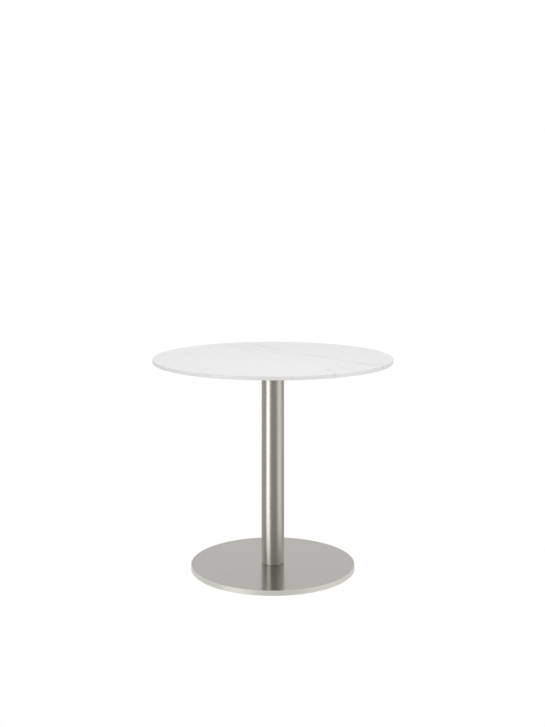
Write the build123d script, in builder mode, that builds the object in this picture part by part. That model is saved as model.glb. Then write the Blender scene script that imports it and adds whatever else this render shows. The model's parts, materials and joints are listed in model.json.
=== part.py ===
"""A round pedestal bistro table: stone top, steel column and a weighted flat base.

The origin is on the floor under the middle of the column, with +Z up. Sizes are in millimetres.
One long tie rod clamps the top spider, the column and the base weight together.
"""

from build123d import *
import os

# Overall sizes
table_height = 750.0
top_diameter = 850.0
top_thickness = 13.0
column_diameter = 80.0
base_diameter = 580.0
base_plate_height = 17.0
floor_gap = 2.0

# Tabletop: a slab with eased edges and blind holes for threaded inserts
top_edge_radius = 1.2
top_underside_chamfer = 1.0
insert_hole_diameter = 9.0
insert_hole_depth = 8.5
insert_diameter = 8.9
insert_length = 8.0
insert_groove_depth = 0.4
insert_groove_width = 0.8
insert_groove_pitch = 2.0
insert_groove_count = 3

# Top spider: a casting with four channel-section arms and a spigot for the column
arm_count = 4
spider_reach = 275.0
spider_height = 12.0
arm_root_width = 46.0
arm_root_round = 12.0
arm_tip_width = 32.0
arm_plate_thickness = 6.0
arm_wall = 4.5
arm_tip_depth = 7.5
hub_diameter = 116.0
spigot_length = 22.0
spigot_clearance = 0.2
spigot_chamfer = 1.5
casting_round = 1.0
spider_pad_diameter = 24.0
spider_pad_thickness = 1.5

# Screws that hold the top to the spider, M6 with button heads
screw_inner_radius = 110.0
screw_outer_radius = 252.0
screw_diameter = 6.0
screw_length = 16.0
screw_head_diameter = 10.5
screw_head_height = 3.3
screw_head_round = 2.2
screw_socket_size = 4.0
screw_socket_depth = 2.0
screw_washer_diameter = 12.5
screw_washer_thickness = 1.6
screw_hole_diameter = 6.8

# Threads are plain cylinders, this much clear of their tapped holes all round
thread_clearance = 0.05

# How near to a computed place a corner has to be to be picked for rounding
pick_tolerance = 0.01

# Column: a brushed tube with a thin gasket at each end
column_wall = 2.0
gasket_thickness = 0.5
gasket_inset = 1.0

# Tie rod, M12, and its nuts and washers
rod_diameter = 12.0
rod_hole_diameter = 13.5
rod_end_chamfer = 1.2
rod_top_gap = 2.0
jam_nut_height = 6.0
nut_height = 10.0
nut_across_flats = 18.0
nut_chamfer = 1.0
rod_washer_diameter = 37.0
rod_washer_thickness = 3.0
spring_washer_diameter = 21.0
spring_washer_thickness = 2.5
spring_washer_slit = 1.8
rod_end_below_nut = 4.0

# Base cover: one sheet, pressed, with its lower edge turned in
cover_sheet = 1.2
cover_edge_radius = 1.4
cover_inner_radius = 0.2
cover_lip = 9.0
cover_hole_clearance = 0.4

# Base weight: a ribbed iron casting under the cover
weight_edge_gap = 1.8
weight_plate_thickness = 10.0
weight_rib_depth = 3.6
weight_rim_width = 20.0
weight_rib_width = 10.0
weight_rib_count = 8
weight_hub_diameter = 96.0
weight_spigot_height = 26.0
weight_edge_chamfer = 1.5
recess_diameter = 46.0
recess_roof_thickness = 16.0

# Levelling glides: M8 studs whose heads turn inside nylon pads
glide_count = 4
glide_radius = 240.0
glide_first_angle = 45.0
glide_boss_diameter = 40.0
glide_boss_depth = 1.3
stud_diameter = 8.0
stud_end_chamfer = 0.8
stud_cover_gap = 0.5
stud_head_diameter = 18.0
stud_head_height = 2.6
stud_head_clearance = 0.1
stud_socket_size = 5.0
stud_socket_depth = 4.0
stud_neck_clearance = 0.3
pad_diameter = 32.0
pad_height = 6.0
pad_roof = 1.1
pad_access_diameter = 10.0
pad_edge_chamfer = 1.0
pad_top_round = 0.8

# Heights worked out from the sizes above
top_underside = table_height - top_thickness
spider_top = top_underside - spider_pad_thickness
spider_underside = spider_top - spider_height
arm_plate_underside = spider_top - arm_plate_thickness
spigot_bottom = spider_underside - spigot_length
column_top = spider_underside - gasket_thickness
cover_top = floor_gap + base_plate_height
column_bottom = cover_top + gasket_thickness
weight_top = cover_top - cover_sheet
weight_plate_underside = weight_top - weight_plate_thickness
weight_underside = weight_plate_underside - weight_rib_depth
weight_spigot_top = weight_top + weight_spigot_height
recess_roof = weight_spigot_top - recess_roof_thickness
rod_washer_bottom = recess_roof - rod_washer_thickness
spring_washer_bottom = rod_washer_bottom - spring_washer_thickness
nut_bottom = spring_washer_bottom - nut_height
rod_bottom = nut_bottom - rod_end_below_nut
rod_top = spider_top - rod_top_gap
screw_washer_bottom = arm_plate_underside - screw_washer_thickness
screw_head_bottom = screw_washer_bottom - screw_head_height
head_bottom = pad_height - pad_roof - stud_head_clearance - stud_head_height
cavity_bottom = head_bottom - stud_head_clearance
stud_top = weight_top - stud_cover_gap

# Radii worked out from the sizes above
top_radius = top_diameter / 2
base_radius = base_diameter / 2
column_radius = column_diameter / 2
column_bore_radius = column_radius - column_wall
spigot_radius = column_bore_radius - spigot_clearance
tapped_rod_radius = rod_diameter / 2
rod_radius = tapped_rod_radius - thread_clearance
tapped_screw_radius = screw_diameter / 2
screw_radius = tapped_screw_radius - thread_clearance
stud_radius = stud_diameter / 2
tapped_stud_radius = stud_radius + thread_clearance

# Places that repeat
arm_step = 360 / arm_count
glide_step = 360 / glide_count
screw_points = [
    Vector(radius, 0, 0).rotate(Axis.Z, arm_step * arm)
    for arm in range(arm_count)
    for radius in (screw_inner_radius, screw_outer_radius)
]
glide_points = [
    Vector(glide_radius, 0, 0).rotate(Axis.Z, glide_first_angle + glide_step * glide)
    for glide in range(glide_count)
]

os.makedirs("parts", exist_ok=True)

# Tabletop
with BuildPart() as tabletop:
    with BuildSketch(Plane.XY.offset(top_underside)):
        Circle(top_radius)
    extrude(amount=top_thickness)
    fillet(tabletop.faces().sort_by(Axis.Z)[-1].edges(), top_edge_radius)
    chamfer(tabletop.faces().sort_by(Axis.Z)[0].edges(), top_underside_chamfer)
    with BuildSketch(Plane.XY.offset(top_underside)):
        with Locations(*screw_points):
            Circle(insert_hole_diameter / 2)
    extrude(amount=insert_hole_depth, mode=Mode.SUBTRACT)
tabletop.part.label = "tabletop"
export_step(tabletop.part, "parts/tabletop.step")

# Threaded inserts, bonded into the tabletop, with three retaining grooves each
groove_levels = [
    top_underside + insert_groove_pitch * (groove + 1) - insert_groove_width / 2
    for groove in range(insert_groove_count)
]
with BuildPart() as tabletop_inserts:
    with BuildSketch(Plane.XY.offset(top_underside)):
        with Locations(*screw_points):
            Circle(insert_diameter / 2)
            Circle(tapped_screw_radius, mode=Mode.SUBTRACT)
    extrude(amount=insert_length)
    for level in groove_levels:
        with BuildSketch(Plane.XY.offset(level)):
            with Locations(*screw_points):
                Circle(insert_diameter / 2)
                Circle(insert_diameter / 2 - insert_groove_depth, mode=Mode.SUBTRACT)
        extrude(amount=insert_groove_width, mode=Mode.SUBTRACT)
tabletop_inserts.part.label = "tabletop_inserts"
export_step(tabletop_inserts.part, "parts/tabletop_inserts.step")

# Rubber pads between the spider's arms and the tabletop
with BuildPart() as spider_pads:
    with BuildSketch(Plane.XY.offset(spider_top)):
        with Locations(*screw_points):
            Circle(spider_pad_diameter / 2)
            Circle(screw_hole_diameter / 2, mode=Mode.SUBTRACT)
    extrude(amount=spider_pad_thickness)
spider_pads.part.label = "spider_pads"
export_step(spider_pads.part, "parts/spider_pads.step")

# Top spider: hub, tapered arms with rounded tips, channels under the arms, and the spigot
arm_tip_centre = spider_reach - arm_tip_width / 2
hub_radius = hub_diameter / 2
channel_start = hub_radius + arm_wall
with BuildPart() as top_spider:
    with BuildSketch(Plane.XY.offset(spider_underside)) as spider_plan:
        Circle(hub_radius)
        with PolarLocations(0, arm_count):
            Polygon(
                (0, -arm_root_width / 2),
                (arm_tip_centre, -arm_tip_width / 2),
                (arm_tip_centre, arm_tip_width / 2),
                (0, arm_root_width / 2),
                align=None,
            )
        with PolarLocations(arm_tip_centre, arm_count):
            Circle(arm_tip_width / 2)
        arm_roots = [
            corner
            for corner in spider_plan.vertices()
            if abs(Vector(corner.X, corner.Y).length - hub_radius) < pick_tolerance
        ]
        fillet(arm_roots, arm_root_round)
    extrude(amount=spider_height)
    with BuildSketch(Plane.XZ):
        with BuildLine():
            Polyline(
                (hub_radius, spider_underside),
                (spider_reach, spider_top - arm_tip_depth),
                (spider_reach, spider_underside),
                close=True,
            )
        make_face()
    revolve(axis=Axis.Z, mode=Mode.SUBTRACT)
    with BuildSketch(Plane.XY.offset(spider_underside)):
        with PolarLocations(0, arm_count):
            Polygon(
                (channel_start, arm_wall - arm_root_width / 2),
                (arm_tip_centre, arm_wall - arm_tip_width / 2),
                (arm_tip_centre, arm_tip_width / 2 - arm_wall),
                (channel_start, arm_root_width / 2 - arm_wall),
                align=None,
            )
        with PolarLocations(arm_tip_centre, arm_count):
            Circle(arm_tip_width / 2 - arm_wall)
    extrude(amount=spider_height - arm_plate_thickness, mode=Mode.SUBTRACT)
    with BuildSketch(Plane.XY.offset(spigot_bottom)):
        Circle(spigot_radius)
    extrude(amount=spigot_length)
    chamfer(top_spider.faces().sort_by(Axis.Z)[0].edges(), spigot_chamfer)
    fillet(top_spider.faces().sort_by(Axis.Z)[-1].outer_wire().edges(), casting_round)
    with BuildSketch(Plane.XY.offset(spigot_bottom)):
        Circle(tapped_rod_radius)
    extrude(amount=spigot_length + spider_height, mode=Mode.SUBTRACT)
    with BuildSketch(Plane.XY.offset(arm_plate_underside)):
        with Locations(*screw_points):
            Circle(screw_hole_diameter / 2)
    extrude(amount=arm_plate_thickness, mode=Mode.SUBTRACT)
top_spider.part.label = "top_spider"
export_step(top_spider.part, "parts/top_spider.step")

# Screws that hold the top, with domed heads and hexagon sockets
with BuildPart() as top_screws:
    with BuildSketch(Plane.XY.offset(screw_head_bottom)):
        with Locations(*screw_points):
            Circle(screw_head_diameter / 2)
    extrude(amount=screw_head_height)
    fillet(top_screws.edges().group_by(Axis.Z)[0], screw_head_round)
    with BuildSketch(Plane.XY.offset(screw_washer_bottom)):
        with Locations(*screw_points):
            Circle(screw_radius)
    extrude(amount=screw_length)
    with BuildSketch(Plane.XY.offset(screw_head_bottom)):
        with Locations(*screw_points):
            RegularPolygon(screw_socket_size / 2, side_count=6, major_radius=False)
    extrude(amount=screw_socket_depth, mode=Mode.SUBTRACT)
top_screws.part.label = "top_screws"
export_step(top_screws.part, "parts/top_screws.step")

# Flat washers under the screw heads
with BuildPart() as top_screw_washers:
    with BuildSketch(Plane.XY.offset(screw_washer_bottom)):
        with Locations(*screw_points):
            Circle(screw_washer_diameter / 2)
            Circle(screw_hole_diameter / 2, mode=Mode.SUBTRACT)
    extrude(amount=screw_washer_thickness)
top_screw_washers.part.label = "top_screw_washers"
export_step(top_screw_washers.part, "parts/top_screw_washers.step")

# Tie rod, from the recess under the base to the tapped hub of the spider
with BuildPart() as tie_rod:
    with BuildSketch(Plane.XY.offset(rod_bottom)):
        Circle(rod_radius)
    extrude(amount=rod_top - rod_bottom)
    chamfer(tie_rod.edges().filter_by(GeomType.CIRCLE), rod_end_chamfer)
tie_rod.part.label = "tie_rod"
export_step(tie_rod.part, "parts/tie_rod.step")

# Jam nut that locks the rod under the spider's spigot
with BuildPart() as rod_jam_nut:
    with BuildSketch(Plane.XY.offset(spigot_bottom - jam_nut_height)):
        RegularPolygon(nut_across_flats / 2, side_count=6, major_radius=False)
        Circle(tapped_rod_radius, mode=Mode.SUBTRACT)
    extrude(amount=jam_nut_height)
rod_jam_nut.part.label = "rod_jam_nut"
export_step(rod_jam_nut.part, "parts/rod_jam_nut.step")

# Column tube
with BuildPart() as column_tube:
    with BuildSketch(Plane.XY.offset(column_bottom)):
        Circle(column_radius)
        Circle(column_bore_radius, mode=Mode.SUBTRACT)
    extrude(amount=column_top - column_bottom)
column_tube.part.label = "column_tube"
export_step(column_tube.part, "parts/column_tube.step")

# Gasket between the column and the spider
with BuildPart() as column_top_gasket:
    with BuildSketch(Plane.XY.offset(column_top)):
        Circle(column_radius - gasket_inset)
        Circle(column_bore_radius, mode=Mode.SUBTRACT)
    extrude(amount=gasket_thickness)
column_top_gasket.part.label = "column_top_gasket"
export_step(column_top_gasket.part, "parts/column_top_gasket.step")

# Gasket between the column and the base cover
with BuildPart() as column_foot_gasket:
    with BuildSketch(Plane.XY.offset(cover_top)):
        Circle(column_radius - gasket_inset)
        Circle(column_bore_radius, mode=Mode.SUBTRACT)
    extrude(amount=gasket_thickness)
column_foot_gasket.part.label = "column_foot_gasket"
export_step(column_foot_gasket.part, "parts/column_foot_gasket.step")

# Base cover: the section of the sheet, turned about the column's axis
cover_hole_radius = spigot_radius + cover_hole_clearance
cover_bore_radius = base_radius - cover_sheet
with BuildPart() as base_cover:
    with BuildSketch(Plane.XZ) as cover_section:
        with BuildLine():
            Polyline(
                (cover_hole_radius, weight_top),
                (cover_bore_radius, weight_top),
                (cover_bore_radius, floor_gap + cover_sheet),
                (base_radius - cover_lip, floor_gap + cover_sheet),
                (base_radius - cover_lip, floor_gap),
                (base_radius, floor_gap),
                (base_radius, cover_top),
                (cover_hole_radius, cover_top),
                close=True,
            )
        make_face()
        outer_corners = cover_section.vertices().group_by(Axis.X)[-1]
        fillet(outer_corners, cover_edge_radius)
        inner_corners = [
            corner
            for corner in cover_section.vertices()
            if abs(corner.X - cover_bore_radius) < pick_tolerance
        ]
        fillet(inner_corners, cover_inner_radius)
    revolve(axis=Axis.Z)
base_cover.part.label = "base_cover"
export_step(base_cover.part, "parts/base_cover.step")

# Base weight: plate, spigot for the column, rim, hub and ribs below, and the glide bosses
weight_radius = base_radius - cover_sheet - weight_edge_gap
rim_inner_radius = weight_radius - weight_rim_width
rib_length = rim_inner_radius - weight_hub_diameter / 2 + weight_rib_width
rib_middle = (rim_inner_radius + weight_hub_diameter / 2) / 2
rib_first_angle = 180 / weight_rib_count
with BuildPart() as base_weight:
    with BuildSketch(Plane.XY.offset(weight_underside)):
        Circle(weight_radius)
        Circle(rim_inner_radius, mode=Mode.SUBTRACT)
        Circle(weight_hub_diameter / 2)
        with PolarLocations(rib_middle, weight_rib_count, rib_first_angle):
            Rectangle(rib_length, weight_rib_width)
    extrude(amount=weight_rib_depth)
    with BuildSketch(Plane.XY.offset(weight_plate_underside - glide_boss_depth)):
        with Locations(*glide_points):
            Circle(glide_boss_diameter / 2)
    extrude(amount=glide_boss_depth)
    with BuildSketch(Plane.XY.offset(weight_plate_underside)):
        Circle(weight_radius)
    extrude(amount=weight_plate_thickness)
    rim_edges = base_weight.edges().filter_by(GeomType.CIRCLE).sort_by(SortBy.RADIUS)[-2:]
    chamfer(rim_edges, weight_edge_chamfer)
    with BuildSketch(Plane.XY.offset(weight_top)):
        Circle(spigot_radius)
    extrude(amount=weight_spigot_height)
    chamfer(base_weight.faces().sort_by(Axis.Z)[-1].edges(), spigot_chamfer)
    with BuildSketch(Plane.XY.offset(weight_underside)):
        Circle(recess_diameter / 2)
    extrude(amount=recess_roof - weight_underside, mode=Mode.SUBTRACT)
    with BuildSketch(Plane.XY.offset(recess_roof)):
        Circle(rod_hole_diameter / 2)
    extrude(amount=recess_roof_thickness, mode=Mode.SUBTRACT)
    with BuildSketch(Plane.XY.offset(weight_plate_underside - glide_boss_depth)):
        with Locations(*glide_points):
            Circle(tapped_stud_radius)
    extrude(amount=glide_boss_depth + weight_plate_thickness, mode=Mode.SUBTRACT)
base_weight.part.label = "base_weight"
export_step(base_weight.part, "parts/base_weight.step")

# Large flat washer at the roof of the recess
with BuildPart() as rod_washer:
    with BuildSketch(Plane.XY.offset(rod_washer_bottom)):
        Circle(rod_washer_diameter / 2)
        Circle(rod_hole_diameter / 2, mode=Mode.SUBTRACT)
    extrude(amount=rod_washer_thickness)
rod_washer.part.label = "rod_washer"
export_step(rod_washer.part, "parts/rod_washer.step")

# Spring washer, a split ring
with BuildPart() as rod_spring_washer:
    with BuildSketch(Plane.XY.offset(spring_washer_bottom)):
        Circle(spring_washer_diameter / 2)
        Circle(tapped_rod_radius + spigot_clearance, mode=Mode.SUBTRACT)
        with Locations((spring_washer_diameter / 2, 0)):
            Rectangle(spring_washer_diameter, spring_washer_slit, mode=Mode.SUBTRACT)
    extrude(amount=spring_washer_thickness)
rod_spring_washer.part.label = "rod_spring_washer"
export_step(rod_spring_washer.part, "parts/rod_spring_washer.step")

# Nut that pulls the whole column tight, its corners turned down to a cone at both ends
nut_corner_radius = nut_across_flats / 3**0.5
with BuildPart() as rod_nut:
    with BuildSketch(Plane.XY.offset(nut_bottom)):
        Circle(nut_corner_radius)
    extrude(amount=nut_height)
    chamfer(rod_nut.edges().filter_by(GeomType.CIRCLE), nut_chamfer)
    with BuildSketch(Plane.XY.offset(nut_bottom)):
        RegularPolygon(nut_across_flats / 2, side_count=6, major_radius=False)
    extrude(amount=nut_height, mode=Mode.INTERSECT)
    with BuildSketch(Plane.XY.offset(nut_bottom)):
        Circle(tapped_rod_radius)
    extrude(amount=nut_height, mode=Mode.SUBTRACT)
rod_nut.part.label = "rod_nut"
export_step(rod_nut.part, "parts/rod_nut.step")

# Levelling glides: a stud that turns, and the pad that it carries down
pad_radius = pad_diameter / 2
head_radius = stud_head_diameter / 2
cavity_radius = head_radius + stud_head_clearance
for number, point in enumerate(glide_points, start=1):
    glide_plane = Plane(origin=point)
    with BuildPart() as glide_stud:
        with BuildSketch(glide_plane.offset(head_bottom)):
            Circle(head_radius)
        extrude(amount=stud_head_height)
        with BuildSketch(glide_plane.offset(head_bottom + stud_head_height)):
            Circle(stud_radius)
        extrude(amount=stud_top - head_bottom - stud_head_height)
        chamfer(glide_stud.faces().sort_by(Axis.Z)[-1].edges(), stud_end_chamfer)
        with BuildSketch(glide_plane.offset(head_bottom)):
            RegularPolygon(stud_socket_size / 2, side_count=6, major_radius=False)
        extrude(amount=stud_socket_depth, mode=Mode.SUBTRACT)
    glide_stud.part.label = f"glide_stud_{number}"
    export_step(glide_stud.part, f"parts/glide_stud_{number}.step")

    with BuildPart() as glide_pad:
        with BuildSketch(glide_plane):
            Circle(pad_radius)
        extrude(amount=pad_height)
        chamfer(glide_pad.faces().sort_by(Axis.Z)[0].edges(), pad_edge_chamfer)
        fillet(glide_pad.faces().sort_by(Axis.Z)[-1].edges(), pad_top_round)
        with BuildSketch(glide_plane):
            Circle(pad_access_diameter / 2)
        extrude(amount=cavity_bottom, mode=Mode.SUBTRACT)
        with BuildSketch(glide_plane.offset(cavity_bottom)):
            Circle(cavity_radius)
        extrude(amount=stud_head_height + 2 * stud_head_clearance, mode=Mode.SUBTRACT)
        with BuildSketch(glide_plane.offset(pad_height - pad_roof)):
            Circle(stud_radius + stud_neck_clearance)
        extrude(amount=pad_roof, mode=Mode.SUBTRACT)
    glide_pad.part.label = f"glide_pad_{number}"
    export_step(glide_pad.part, f"parts/glide_pad_{number}.step")
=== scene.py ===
"""Looks of the bistro table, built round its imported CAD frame. Lengths are in metres."""

import json
import math

import bmesh
import bpy
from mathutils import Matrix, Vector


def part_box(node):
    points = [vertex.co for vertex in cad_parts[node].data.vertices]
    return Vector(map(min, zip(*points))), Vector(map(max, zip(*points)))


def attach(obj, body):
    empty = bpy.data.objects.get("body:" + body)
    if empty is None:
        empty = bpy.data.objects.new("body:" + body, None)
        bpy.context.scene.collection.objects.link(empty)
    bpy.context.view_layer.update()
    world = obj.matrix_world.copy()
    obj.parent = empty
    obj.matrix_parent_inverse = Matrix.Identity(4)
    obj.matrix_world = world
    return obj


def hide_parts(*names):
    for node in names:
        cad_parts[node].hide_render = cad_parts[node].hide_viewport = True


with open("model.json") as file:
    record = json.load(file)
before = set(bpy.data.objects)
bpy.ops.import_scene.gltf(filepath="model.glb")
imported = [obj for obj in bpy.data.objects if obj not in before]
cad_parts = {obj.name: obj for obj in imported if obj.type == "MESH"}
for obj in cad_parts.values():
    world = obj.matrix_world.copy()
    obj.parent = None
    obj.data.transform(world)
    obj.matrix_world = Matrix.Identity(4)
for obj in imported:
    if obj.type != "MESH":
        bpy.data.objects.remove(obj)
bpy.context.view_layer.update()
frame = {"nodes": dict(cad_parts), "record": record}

NODES = frame["nodes"]
MM = 0.001


# ---------------------------------------------------------------- node helpers

# A Mix node's sockets, by what it mixes: the first input, the second input and the output
MIX_SOCKETS = {"FLOAT": (2, 3, 0), "RGBA": (6, 7, 2)}


class Tree:
    """Short calls for building one node tree. A value is a number, a colour or another node's output."""

    def __init__(self, tree):
        self.tree = tree

    def feed(self, socket, value):
        if isinstance(value, bpy.types.NodeSocket):
            self.tree.links.new(value, socket)
        else:
            socket.default_value = value

    def node(self, kind, settings=None, **inputs):
        made = self.tree.nodes.new("ShaderNode" + kind)
        for name, value in (settings or {}).items():
            setattr(made, name, value)
        for name, value in inputs.items():
            self.feed(made.inputs[name.replace("_", " ")], value)
        return made

    def calc(self, operation, *values):
        made = self.tree.nodes.new("ShaderNodeMath")
        made.operation = operation
        for socket, value in zip(made.inputs, values):
            self.feed(socket, value)
        return made.outputs[0]

    def times(self, first, second):
        return self.calc("MULTIPLY", first, second)

    def minus(self, first, second):
        return self.calc("SUBTRACT", first, second)

    def scaled(self, value, factor, offset):
        """value * factor + offset"""
        return self.calc("MULTIPLY_ADD", value, factor, offset)

    def swung(self, value, swing, middle):
        """middle, give or take half of swing as value, a noise about 0.5, goes up and down."""
        return self.scaled(self.minus(value, 0.5), swing, middle)

    def vector(self, x, y, z):
        return self.node("CombineXYZ", X=x, Y=y, Z=z).outputs[0]

    def split(self, vector):
        made = self.node("SeparateXYZ", Vector=vector)
        return made.outputs["X"], made.outputs["Y"], made.outputs["Z"]

    def noise(self, vector, scale, detail=2.0, roughness=0.5, distortion=0.0):
        """Noise from 0 to 1. On object coordinates, scale is about how many patches fit in a metre."""
        made = self.node("TexNoise", Vector=vector, Scale=scale, Detail=detail,
                         Roughness=roughness, Distortion=distortion)
        return made.outputs["Fac"]

    def voronoi(self, vector, scale):
        """Distance to the nearest of many scattered points."""
        return self.node("TexVoronoi", Vector=vector, Scale=scale).outputs["Distance"]

    def ramp(self, value, low, high, to_low=0.0, to_high=1.0):
        """Runs smoothly from to_low, where value is low, to to_high, where it is high."""
        made = self.node("MapRange", {"interpolation_type": "SMOOTHSTEP"}, Value=value)
        names = ("From Min", "From Max", "To Min", "To Max")
        for name, number in zip(names, (low, high, to_low, to_high)):
            self.feed(made.inputs[name], number)
        return made.outputs["Result"]

    def window(self, value, low, high, soft):
        """1 between low and high, and 0 outside, with edges soft wide."""
        rise = self.ramp(value, low - soft / 2, low + soft / 2)
        fall = self.ramp(value, high - soft / 2, high + soft / 2, 1.0, 0.0)
        return self.times(rise, fall)

    def mix(self, factor, first, second, kind="RGBA"):
        """first where factor is 0 and second where it is 1. kind is FLOAT for numbers."""
        first_input, second_input, output = MIX_SOCKETS[kind]
        made = self.node("Mix", {"data_type": kind})
        self.feed(made.inputs[0], factor)
        self.feed(made.inputs[first_input], first)
        self.feed(made.inputs[second_input], second)
        return made.outputs[output]

    def bump(self, height, distance, strength):
        made = self.node("Bump", Height=height, Distance=distance, Strength=strength)
        return made.outputs["Normal"]


def colour(red, green, blue):
    return (red, green, blue, 1.0)


def new_material(name):
    """(material, its tree, its Principled shader, object coordinates)."""
    material = bpy.data.materials.new(name)
    material.use_nodes = True
    tree = Tree(material.node_tree)
    shader = material.node_tree.nodes["Principled BSDF"]
    place = tree.node("TexCoord").outputs["Object"]
    return material, tree, shader, place


def finish_shader(tree, shader, **inputs):
    for name, value in inputs.items():
        tree.feed(shader.inputs[name.replace("_", " ")], value)


# ------------------------------------------------------------ stone of the top

STONE_PALE = colour(0.780, 0.766, 0.779)
STONE_GREY = colour(0.712, 0.709, 0.725)
HALO_GREY = colour(0.60, 0.61, 0.63)
MAIN_VEIN_GREY = colour(0.34, 0.35, 0.37)
SIDE_VEIN_GREY = colour(0.40, 0.41, 0.43)
MARK_GREY = colour(0.25, 0.26, 0.28)
HALO_SHARE = 0.10
MAIN_VEIN_SHARE = 0.50
SIDE_VEIN_SHARE = 0.20
STONE_IOR = 1.5

VEIN_ANGLE = math.radians(-54)     # the way the veins run, from +X in plan
MAIN_ACROSS = 0.132                # how far across the main vein lies at the middle of its bow
MAIN_BOW = 0.21
MAIN_BOW_ALONG = -0.08             # where along the vein the middle of its bow lies
MAIN_RAGGED = 0.022
MAIN_FADE = (0.35, 0.40, 1.0, 0.3) # start and end along the vein, and its strength before and after
CORE_HALF = 0.0006                 # half widths of the main vein's core, its line and its halo
LINE_HALF = 0.0045
HALO_HALF = 0.020
SIDE_REACH = 0.016                 # how far the noise of a side vein may be from its middle
PACKED_ALONG = 1.3                 # how tightly that noise is packed along the veins and across them
PACKED_ACROSS = 5.0
PALE_SPOT = (0.12, -0.24)          # the palest place of the top, in plan
GREY_EDGE = 0.06                   # width of the soft boundary of the greyer zone
GREY_DRIFT = 0.09

# The main vein's strong stretches, as (start, end, soft ends, strength) along it
MAIN_STRETCHES = (
    (-0.33, -0.15, 0.06, 1.00),
    (-0.04, 0.12, 0.06, 0.75),
    (0.24, 0.40, 0.08, 1.00),
)

# Single marks in the stone, as (along, across, half length, half width, strength)
STONE_MARKS = (
    (0.340, -0.022, 0.022, 0.012, 0.70),
    (0.421, -0.057, 0.030, 0.014, 0.26),
    (-0.054, -0.422, 0.026, 0.010, 0.16),
    (-0.247, -0.195, 0.030, 0.020, 0.14),
    (-0.273, 0.048, 0.080, 0.018, 0.13),
    (-0.204, 0.343, 0.030, 0.010, 0.10),
    (0.385, -0.198, 0.030, 0.008, 0.10),
)
MARK_RAGGED = 1.8


def vein_axes(tree, place):
    """Distances along the veins, across them, and up."""
    x, y, z = tree.split(place)
    cos, sin = math.cos(VEIN_ANGLE), math.sin(VEIN_ANGLE)
    along = tree.scaled(x, cos, tree.times(y, sin))
    across = tree.scaled(x, -sin, tree.times(y, cos))
    return along, across, z


def main_vein(tree, place, along, across, ragged):
    """(line, halo) of the main vein, which bows gently, comes and goes, and has ragged edges."""
    bow = tree.calc("POWER", tree.minus(along, MAIN_BOW_ALONG), 2.0)
    centre = tree.scaled(bow, MAIN_BOW, MAIN_ACROSS)
    ragged_across = tree.scaled(ragged, MAIN_RAGGED, tree.minus(across, MAIN_RAGGED / 2))
    off = tree.calc("ABSOLUTE", tree.minus(ragged_across, centre))
    presence = tree.ramp(tree.noise(place, 9.0, 2.0), 0.40, 0.60, 0.20, 0.50)
    for start, end, soft, strength in MAIN_STRETCHES:
        stretch = tree.times(tree.window(along, start, end, soft), strength)
        presence = tree.calc("MAXIMUM", presence, stretch)
    presence = tree.times(presence, tree.ramp(along, *MAIN_FADE))
    line = tree.times(tree.ramp(off, CORE_HALF, LINE_HALF, 1.0, 0.0), presence)
    halo = tree.times(tree.ramp(off, 0.0, HALO_HALF, 1.0, 0.0), presence)
    return line, halo


def side_veins(tree, place, stretched):
    """Hairlines where noise that is long in the veins' direction crosses its middle."""
    off = tree.calc("ABSOLUTE", tree.minus(tree.noise(stretched, 2.3, 3.0, 0.48, 0.2), 0.5))
    where = tree.ramp(tree.noise(place, 3.1, 1.0), 0.5, 0.68)
    return tree.times(tree.ramp(off, 0.0, SIDE_REACH, 1.0, 0.0), where)


def clouds(tree, place, across, stretched):
    """How grey the stone is: least at its pale spot, more behind a soft boundary, with faint streaks."""
    x, y = tree.split(place)[:2]
    from_pale = tree.vector(tree.minus(x, PALE_SPOT[0]), tree.minus(y, PALE_SPOT[1]), 0.0)
    from_pale = tree.node("VectorMath", {"operation": "LENGTH"}, Vector=from_pale).outputs["Value"]
    behind = tree.ramp(tree.swung(tree.noise(place, 5.0, 3.0, 0.55), GREY_DRIFT, across), 0.0, GREY_EDGE)
    patches = tree.ramp(tree.noise(place, 6.0, 4.0, 0.55), 0.25, 0.75, 0.15, 0.45)
    streaks = tree.ramp(tree.noise(stretched, 9.0, 5.0, 0.6), 0.42, 0.72)
    grey = tree.scaled(streaks, 0.30, tree.times(behind, patches))
    return tree.scaled(tree.ramp(from_pale, 0.10, 0.62), 0.60, grey)


def stone_mark(tree, along, across, ragged, mark):
    """A soft ragged blotch of grey, long in the veins' direction."""
    middle_along, middle_across, half_length, half_width, strength = mark
    off_along = tree.calc("DIVIDE", tree.minus(along, middle_along), half_length)
    off_across = tree.calc("DIVIDE", tree.minus(across, middle_across), half_width)
    square = tree.scaled(off_along, off_along, tree.times(off_across, off_across))
    off = tree.swung(ragged, MARK_RAGGED, tree.calc("SQRT", square))
    return tree.ramp(off, 0.15, 0.90, strength, 0.0)


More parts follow.
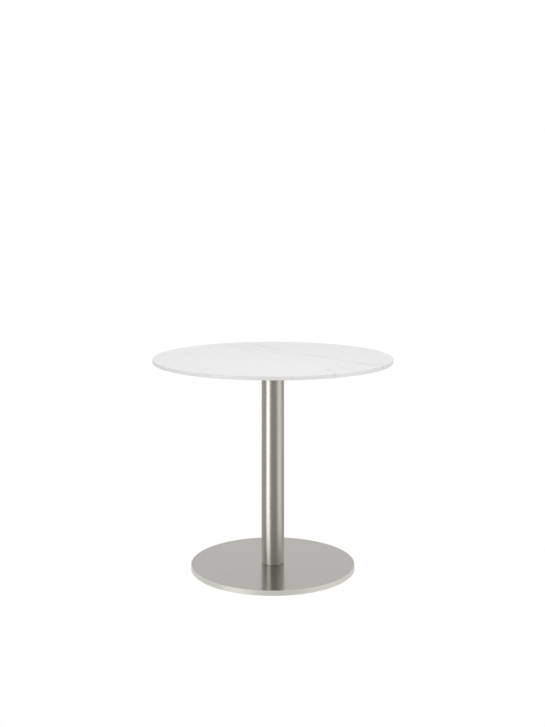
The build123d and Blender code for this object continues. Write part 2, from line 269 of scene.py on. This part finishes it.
def marble():
    """White stone with soft grey clouds and a few thin diagonal veins that run over the edge."""
    material, tree, shader, place = new_material("stone_top_marble")
    along, across, z = vein_axes(tree, place)
    stretched = tree.vector(tree.times(along, PACKED_ALONG), tree.times(across, PACKED_ACROSS), z)
    ragged = tree.noise(place, 26.0, 5.0, 0.62)
    line, halo = main_vein(tree, place, along, across, ragged)
    hairlines = side_veins(tree, place, stretched)
    paint = tree.mix(clouds(tree, place, across, stretched), STONE_PALE, STONE_GREY)
    paint = tree.mix(tree.times(halo, HALO_SHARE), paint, HALO_GREY)
    paint = tree.mix(tree.times(line, MAIN_VEIN_SHARE), paint, MAIN_VEIN_GREY)
    paint = tree.mix(tree.times(hairlines, SIDE_VEIN_SHARE), paint, SIDE_VEIN_GREY)
    mottle = tree.ramp(tree.noise(place, 70.0, 4.0, 0.6), 0.35, 0.60, 0.35, 1.0)
    for mark in STONE_MARKS:
        spot = tree.times(stone_mark(tree, along, across, ragged, mark), mottle)
        paint = tree.mix(spot, paint, MARK_GREY)
    polish = tree.ramp(tree.noise(place, 60.0, 3.0), 0.3, 0.7, 0.30, 0.38)
    grain = tree.noise(place, 900.0, 2.0)
    finish_shader(tree, shader, Base_Color=paint, Roughness=polish, IOR=STONE_IOR,
                  Normal=tree.bump(grain, 0.01 * MM, 0.3))
    return material


# -------------------------------------------------------------- brushed metals

COLUMN_TINT = (0.52, 0.508, 0.462)
COVER_TINT = (0.52, 0.508, 0.470)
# paler than the cover's own steel and partly matt: painted light on the rim
RIM_PAINTED_LIGHT_TINT = (0.735, 0.720, 0.665)
LINE_TINTS = (0.955, 1.045)        # a dark and a light brushed line's share of the tint
FINE_LINES = 1400.0                # how many times the noise is squeezed across the lines
COARSE_LINES = 260.0
FINE_SHARE = 0.6
COARSE_SHARE = 0.4
SMUDGE_SWING = 0.06
BRUSHED_DEPTH = 0.003 * MM


def brushed(name, lines_along, tint, rough, rough_swing, anisotropic=0.0, metallic=1.0):
    """Satin brushed metal. lines_along says which way each fine line is drawn.

    "tube": round an upright tube, "disc": round a flat disc and its rim.
    """
    material, tree, shader, place = new_material(name)
    x, y, z = tree.split(place)
    reach = tree.calc("SQRT", tree.scaled(x, x, tree.times(y, y)))
    side_x = tree.calc("DIVIDE", x, tree.calc("MAXIMUM", reach, MM))
    side_y = tree.calc("DIVIDE", y, tree.calc("MAXIMUM", reach, MM))
    # distance across the lines: down the tube, or out along the disc and then down its rim
    across = z if lines_along == "tube" else tree.minus(reach, z)
    fine = tree.vector(tree.times(across, FINE_LINES), side_x, side_y)
    coarse = tree.vector(tree.times(across, COARSE_LINES), side_x, side_y)
    fine_lines = tree.noise(fine, 1.6, 3.0, 0.6)
    coarse_lines = tree.noise(coarse, 1.3, 2.0, 0.5)
    lines = tree.scaled(coarse_lines, COARSE_SHARE, tree.times(fine_lines, FINE_SHARE))
    smudges = tree.noise(place, 9.0, 3.0, 0.55)
    dark, light = [colour(*(share * part for part in tint)) for share in LINE_TINTS]
    paint = tree.mix(tree.ramp(lines, 0.3, 0.7), dark, light)
    roughness = tree.swung(smudges, SMUDGE_SWING, tree.swung(lines, rough_swing, rough))
    finish_shader(tree, shader, Base_Color=paint, Metallic=metallic, Roughness=roughness,
                  Normal=tree.bump(lines, BRUSHED_DEPTH, 0.3))
    if anisotropic:
        finish_shader(tree, shader, Anisotropic=anisotropic, Anisotropic_Rotation=0.25,
                      Tangent=tree.node("Tangent", {"direction_type": "RADIAL", "axis": "Z"}).outputs[0])
    return material


# ------------------------------------------------- castings, fasteners and pads

POWDER_BLACK = colour(0.020, 0.020, 0.021)
POWDER_DUST = colour(0.036, 0.036, 0.037)
IRON_DARK = colour(0.022, 0.022, 0.024)
IRON_PALE = colour(0.055, 0.055, 0.058)
IRON_WORN = colour(0.085, 0.075, 0.068)
ZINC_GREY = colour(0.56, 0.58, 0.60)
ZINC_PALE = colour(0.72, 0.73, 0.72)
BRASS_DULL = colour(0.66, 0.47, 0.20)
BRASS_BRIGHT = colour(0.83, 0.64, 0.33)
RUBBER_BLACK = colour(0.018, 0.018, 0.018)
RUBBER_BLOOM = colour(0.045, 0.045, 0.044)
NYLON_BLACK = colour(0.030, 0.030, 0.032)
NYLON_SCUFFED = colour(0.075, 0.075, 0.078)
ROD_PITCH = 1.75 * MM              # M12 coarse thread


def powder_coat():
    """Fine-textured black powder coat."""
    material, tree, shader, place = new_material("coated_casting_powder")
    peel = tree.noise(place, 900.0, 3.0, 0.6)
    dust = tree.noise(place, 14.0, 4.0, 0.6)
    paint = tree.mix(tree.ramp(dust, 0.35, 0.75), POWDER_BLACK, POWDER_DUST)
    finish_shader(tree, shader, Base_Color=paint, Roughness=tree.scaled(peel, 0.18, 0.36),
                  Normal=tree.bump(peel, 0.12 * MM, 0.5))
    return material


def painted_iron():
    """Sand-cast iron under thin black paint."""
    material, tree, shader, place = new_material("painted_iron_cast")
    sand = tree.noise(place, 380.0, 5.0, 0.65)
    pits = tree.voronoi(place, 160.0)
    wear = tree.ramp(tree.noise(place, 22.0, 5.0, 0.65), 0.6, 0.8)
    paint = tree.mix(wear, tree.mix(sand, IRON_DARK, IRON_PALE), IRON_WORN)
    height = tree.scaled(tree.ramp(pits, 0.0, 0.35), 0.3, sand)
    finish_shader(tree, shader, Base_Color=paint, Roughness=tree.scaled(sand, 0.25, 0.55),
                  Normal=tree.bump(height, 0.5 * MM, 0.6))
    return material


def zinc(name, thread_pitch=0.0):
    """Bright zinc plate. With a pitch, turned grooves stand for the thread."""
    material, tree, shader, place = new_material(name)
    cloud = tree.noise(place, 120.0, 4.0, 0.6)
    paint = tree.mix(cloud, ZINC_GREY, ZINC_PALE)
    if thread_pitch:
        x, y, z = tree.split(place)
        turn = tree.calc("DIVIDE", tree.calc("ARCTAN2", y, x), 2 * math.pi)
        turns_up = tree.calc("DIVIDE", z, thread_pitch)
        height = tree.calc("PINGPONG", tree.minus(turns_up, turn), 0.5)
        depth = thread_pitch
    else:
        height = tree.noise(place, 1600.0, 3.0)
        depth = 0.02 * MM
    finish_shader(tree, shader, Base_Color=paint, Metallic=1.0, Roughness=tree.scaled(cloud, 0.16, 0.24),
                  Normal=tree.bump(height, depth, 0.6))
    return material


def brass():
    """Machined brass with faint turning marks."""
    material, tree, shader, place = new_material("brass_insert_turned")
    z = tree.split(place)[2]
    marks = tree.noise(tree.vector(0.0, 0.0, tree.times(z, 900.0)), 3.0, 2.0)
    tarnish = tree.noise(place, 60.0, 4.0, 0.6)
    paint = tree.mix(tarnish, BRASS_DULL, BRASS_BRIGHT)
    finish_shader(tree, shader, Base_Color=paint, Metallic=1.0, Roughness=tree.scaled(tarnish, 0.2, 0.22),
                  Normal=tree.bump(marks, 0.03 * MM, 0.4))
    return material


def rubber():
    """Matt black rubber with a dusty bloom."""
    material, tree, shader, place = new_material("rubber_matt")
    grain = tree.noise(place, 700.0, 3.0, 0.6)
    bloom = tree.noise(place, 90.0, 4.0, 0.6)
    paint = tree.mix(tree.ramp(bloom, 0.4, 0.8), RUBBER_BLACK, RUBBER_BLOOM)
    finish_shader(tree, shader, Base_Color=paint, Roughness=tree.scaled(grain, 0.15, 0.72),
                  Normal=tree.bump(grain, 0.06 * MM, 0.5))
    return material


def nylon():
    """Moulded black nylon with a fine spark-eroded texture."""
    material, tree, shader, place = new_material("nylon_pad_moulded")
    texture = tree.noise(place, 1100.0, 3.0, 0.65)
    scuffs = tree.ramp(tree.noise(place, 45.0, 5.0, 0.7), 0.55, 0.8)
    paint = tree.mix(scuffs, NYLON_BLACK, NYLON_SCUFFED)
    finish_shader(tree, shader, Base_Color=paint, Roughness=tree.scaled(texture, 0.2, 0.42),
                  Normal=tree.bump(texture, 0.05 * MM, 0.5))
    return material


# --------------------------------------------------------------- turned meshes

COVER_SEGMENTS = 360
COLUMN_SEGMENTS = 180
CORNER_STEPS = 6
SUPPORT = 0.4 * MM                 # an extra ring this far from each rounded corner keeps flats flat
COVER_SHEET = 1.2 * MM
COVER_EDGE_RADIUS = 1.4 * MM
COVER_LIP = 9 * MM
COVER_HOLE_RADIUS = 38.2 * MM
COLUMN_WALL = 2 * MM
COLUMN_DEBURR = 0.2 * MM
SHARP_ANGLE = math.radians(30)


def corner(middle_r, middle_z, radius, start_turn, end_turn):
    """Points round a corner of a section. Turns are in quarter circles, from outward to upward."""
    turns = [start_turn + (end_turn - start_turn) * k / CORNER_STEPS for k in range(CORNER_STEPS + 1)]
    angles = [turn * math.pi / 2 for turn in turns]
    return [(middle_r + radius * math.cos(a), middle_z + radius * math.sin(a)) for a in angles]


def add_object(name, data):
    made = bpy.data.objects.new(name, data)
    bpy.context.scene.collection.objects.link(made)
    return made


def lathe(name, section, segments):
    """Turns a closed section of (radius, height) points about Z."""
    made = bmesh.new()
    angles = [2 * math.pi * k / segments for k in range(segments)]
    rings = []
    for radius, height in section:
        rings.append([made.verts.new((radius * math.cos(a), radius * math.sin(a), height)) for a in angles])
    for ring, after in zip(rings, rings[1:] + rings[:1]):
        for k in range(segments):
            beside = (k + 1) % segments
            made.faces.new((ring[k], ring[beside], after[beside], after[k]))
    bmesh.ops.recalc_face_normals(made, faces=made.faces)
    return finish_mesh(name, made)


def finish_mesh(name, made):
    """Makes an object of a bmesh, smooth except across sharp edges."""
    for face in made.faces:
        face.smooth = True
    for edge in made.edges:
        edge.smooth = edge.calc_face_angle(0.0) < SHARP_ANGLE
    mesh = bpy.data.meshes.new(name)
    made.to_mesh(mesh)
    made.free()
    return add_object(name, mesh)


def stand_for(piece, node, slot, *materials):
    """The piece takes the CAD node's place on its body."""
    for material in materials:
        piece.data.materials.append(material)
    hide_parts(node)
    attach(piece, "root")


def make_cover(flat_material, rim_painted_light_material):
    """The pressed sheet, with rounded corners and its lip turned in."""
    low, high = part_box("base_cover")
    hole, edge, bottom, top = COVER_HOLE_RADIUS, high.x, low.z, high.z
    inner = COVER_EDGE_RADIUS - COVER_SHEET
    middle = edge - COVER_EDGE_RADIUS
    upper, lower = top - COVER_EDGE_RADIUS, bottom + COVER_EDGE_RADIUS
    section = [
        (hole, top),
        (middle - SUPPORT, top),
        *corner(middle, upper, COVER_EDGE_RADIUS, 1, 0),
        (edge, upper - SUPPORT),
        (edge, lower + SUPPORT),
        *corner(middle, lower, COVER_EDGE_RADIUS, 0, -1),
        (middle - SUPPORT, bottom),
        (edge - COVER_LIP, bottom),
        (edge - COVER_LIP, bottom + COVER_SHEET),
        (middle - SUPPORT, bottom + COVER_SHEET),
        *corner(middle, lower, inner, -1, 0),
        (middle + inner, lower + SUPPORT),
        (middle + inner, upper - SUPPORT),
        *corner(middle, upper, inner, 0, 1),
        (middle - SUPPORT, top - COVER_SHEET),
        (hole, top - COVER_SHEET),
    ]
    cover = lathe("base_cover_turned", section, COVER_SEGMENTS)
    for face in cover.data.polygons:
        outward = face.center.normalized().dot(face.normal)
        on_rim = math.hypot(face.center.x, face.center.y) > middle
        # the outward rim faces take the rim material, a paler, partly matt copy of the same steel: painted
        # light on the rim
        face.material_index = int(on_rim and outward > 0)
    stand_for(cover, "base_cover", "brushed_cover", flat_material, rim_painted_light_material)


def make_column(material):
    """The tube, with its cut ends deburred."""
    low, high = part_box("column_tube")
    outer, inner = high.x, high.x - COLUMN_WALL
    section = [
        (inner, low.z + COLUMN_DEBURR),
        (inner + COLUMN_DEBURR, low.z),
        (outer - COLUMN_DEBURR, low.z),
        (outer, low.z + COLUMN_DEBURR),
        (outer, high.z - COLUMN_DEBURR),
        (outer - COLUMN_DEBURR, high.z),
        (inner + COLUMN_DEBURR, high.z),
        (inner, high.z - COLUMN_DEBURR),
    ]
    column = lathe("column_tube_turned", section, COLUMN_SEGMENTS)
    stand_for(column, "column_tube", "brushed_column", material)


# ----------------------------------------------------------------- assignments

def dress(node, material):
    """Gives a CAD node its finished material."""
    slots = NODES[node].data.materials
    slots.clear()
    slots.append(material)


column_material = brushed("brushed_column_satin", "tube", COLUMN_TINT, 0.35, 0.05, anisotropic=0.9)
cover_material = brushed("brushed_cover_satin", "disc", COVER_TINT, 0.17, 0.03)
# the rim: the cover's steel made paler and partly matt, which is painted light on the rim
rim_painted_light_material = brushed("brushed_cover_rim_painted_light", "disc", RIM_PAINTED_LIGHT_TINT, 0.60, 0.05, anisotropic=0.9, metallic=0.35)
zinc_material = zinc("zinc_steel_plate")
rubber_material = rubber()
nylon_material = nylon()

FINISHES = {
    "tabletop": marble(),
    "tabletop_inserts": brass(),
    "spider_pads": rubber_material,
    "top_spider": powder_coat(),
    "top_screws": zinc_material,
    "top_screw_washers": zinc_material,
    "tie_rod": zinc("zinc_steel_thread", ROD_PITCH),
    "rod_jam_nut": zinc_material,
    "column_tube": column_material,
    "column_top_gasket": rubber_material,
    "column_foot_gasket": rubber_material,
    "base_cover": cover_material,
    "base_weight": painted_iron(),
    "rod_washer": zinc_material,
    "rod_spring_washer": zinc_material,
    "rod_nut": zinc_material,
}
for node in NODES:
    if node.startswith("glide_pad"):
        FINISHES[node] = nylon_material
    if node.startswith("glide_stud"):
        FINISHES[node] = zinc_material
for node, material in FINISHES.items():
    dress(node, material)
make_cover(cover_material, rim_painted_light_material)
make_column(column_material)


# ----------------------------------------------------------- studio and camera

FLOOR_HALF = 30.0
FLOOR_CLEARANCE = 1 * MM

# What the metal mirrors, as (start, end, soft edge) in degrees round from the camera towards +X
DARK_MIDDLE = (-3.0, 40.0, 26.0)
KEY_SOFTBOX = (-62.0, -25.5, 9.0)
FILL_SOFTBOX = (50.0, 98.0, 32.0)
FRONT_HALF = (-100.0, 100.0, 40.0)
KEY_LEAN = -0.55                   # degrees round for each degree of height, below level only

# Brightness of the plain room, and what the dark middle, the key and the fill add to it
ROOM_BELOW = (0.40, -0.11, 1.85, 0.80)
ROOM_LEVEL = (0.90, -0.10, 3.40, 0.85)
ROOM_ABOVE = 0.775
FRONT_ABOVE = -0.45
KEY_ABOVE = 0.40
BELOW_TO_LEVEL = (-12.0, -2.0)     # degrees of height where one brightness gives way to the next
LEVEL_TO_ABOVE = (2.0, 12.0)

DAYLIGHT_BELOW = 0.49
DAYLIGHT_ABOVE = 1.155
DAYLIGHT_BEHIND = -0.06
DAYLIGHT_SIDES = 0.32

SENSOR_WIDTH = 36.0                # in millimetres, as Blender takes it
LENS = 54.905                      # in millimetres too
SHIFT_X = -0.0005
SHIFT_Y = -0.2045
CAMERA_PLACE = (0.0, -3.9294, 1.3140)
CAMERA_DIP = 0.852                 # degrees below level


def make_floor():
    """A plain white floor that casts no colour onto the metal. It is clear from below.

    It lies just under the glides' longest reach, so that it never cuts or meets them.
    """
    slides = [joint for joint in frame["record"]["behaviour"]["joints"] if joint["type"] == "slide"]
    level = -max(joint["range_m"][1] for joint in slides) - FLOOR_CLEARANCE
    corners = [(-1, -1), (1, -1), (1, 1), (-1, 1)]
    mesh = bpy.data.meshes.new("studio_floor")
    mesh.from_pydata([(FLOOR_HALF * x, FLOOR_HALF * y, level) for x, y in corners], [], [(0, 1, 2, 3)])
    floor = add_object("studio_floor", mesh)
    material = bpy.data.materials.new("studio_floor_white")
    material.use_nodes = True
    material.node_tree.nodes.clear()
    tree = Tree(material.node_tree)
    glow = tree.node("Emission", Color=colour(1, 1, 1), Strength=1.0).outputs[0]
    clear = tree.node("BsdfTransparent").outputs[0]
    both = tree.node("MixShader", Fac=tree.node("NewGeometry").outputs["Backfacing"])
    tree.feed(both.inputs[1], glow)
    tree.feed(both.inputs[2], clear)
    tree.node("OutputMaterial", Surface=both.outputs[0])
    mesh.materials.append(material)
    floor.visible_glossy = False
    floor.visible_diffuse = False
    floor.visible_shadow = False


def mirrored_room(tree, x, y, z):
    """What the metal mirrors: a grey room with a dark middle and two upright softboxes."""
    degrees = 180 / math.pi
    azimuth = tree.times(tree.calc("ARCTAN2", x, tree.times(y, -1.0)), degrees)
    height = tree.times(tree.calc("ARCSINE", z), degrees)
    dark = tree.window(azimuth, *DARK_MIDDLE)
    leaning = tree.scaled(tree.calc("MINIMUM", height, 0.0), KEY_LEAN, azimuth)
    key = tree.window(leaning, *KEY_SOFTBOX)
    fill = tree.window(azimuth, *FILL_SOFTBOX)

    def room(plain, dark_share, key_share, fill_share):
        brightness = tree.scaled(dark, dark_share, plain)
        brightness = tree.scaled(key, key_share, brightness)
        return tree.scaled(fill, fill_share, brightness)

    # higher up: dark towards the camera, and a pale backdrop behind the table
    above = tree.scaled(tree.window(azimuth, *FRONT_HALF), FRONT_ABOVE, ROOM_ABOVE)
    above = tree.scaled(key, KEY_ABOVE, above)
    lower = tree.mix(tree.ramp(height, *BELOW_TO_LEVEL), room(*ROOM_BELOW), room(*ROOM_LEVEL), "FLOAT")
    return tree.mix(tree.ramp(height, *LEVEL_TO_ABOVE), lower, above, "FLOAT")


def soft_daylight(tree, x, y, z):
    """What lights the stone: strongest from above, and a little stronger from the sides."""
    daylight = tree.ramp(z, -1.0, 1.0, DAYLIGHT_BELOW, DAYLIGHT_ABOVE)
    daylight = tree.scaled(y, DAYLIGHT_BEHIND, daylight)
    return tree.scaled(tree.times(x, x), DAYLIGHT_SIDES, daylight)


def make_world():
    """Plain white for the camera, the room for the metal to mirror, and daylight for all else."""
    world = bpy.data.worlds.new("studio_world")
    bpy.context.scene.world = world
    world.use_nodes = True
    # each surface then meets the world only by its own rays, and their kind chooses what it sees
    world.cycles.sampling_method = "NONE"
    world.node_tree.nodes.clear()
    tree = Tree(world.node_tree)
    ray = tree.node("LightPath")
    x, y, z = tree.split(tree.node("TexCoord").outputs["Generated"])
    daylight = soft_daylight(tree, x, y, z)
    lit = tree.mix(ray.outputs["Is Glossy Ray"], daylight, mirrored_room(tree, x, y, z), "FLOAT")
    strength = tree.mix(ray.outputs["Is Camera Ray"], lit, 1.0, "FLOAT")
    glow = tree.node("Background", Color=colour(1, 1, 1), Strength=strength)
    tree.node("OutputWorld", Surface=glow.outputs[0])


def make_camera():
    """Nearly level, with the frame shifted down to the table."""
    data = bpy.data.cameras.new("camera")
    data.sensor_width = SENSOR_WIDTH
    data.lens = LENS
    data.shift_x = SHIFT_X
    data.shift_y = SHIFT_Y
    camera = add_object("camera", data)
    camera.location = CAMERA_PLACE
    camera.rotation_euler = (math.radians(90 - CAMERA_DIP), 0.0, 0.0)
    bpy.context.scene.camera = camera


make_floor()
make_world()
make_camera()
bpy.context.scene.view_settings.view_transform = "Standard"
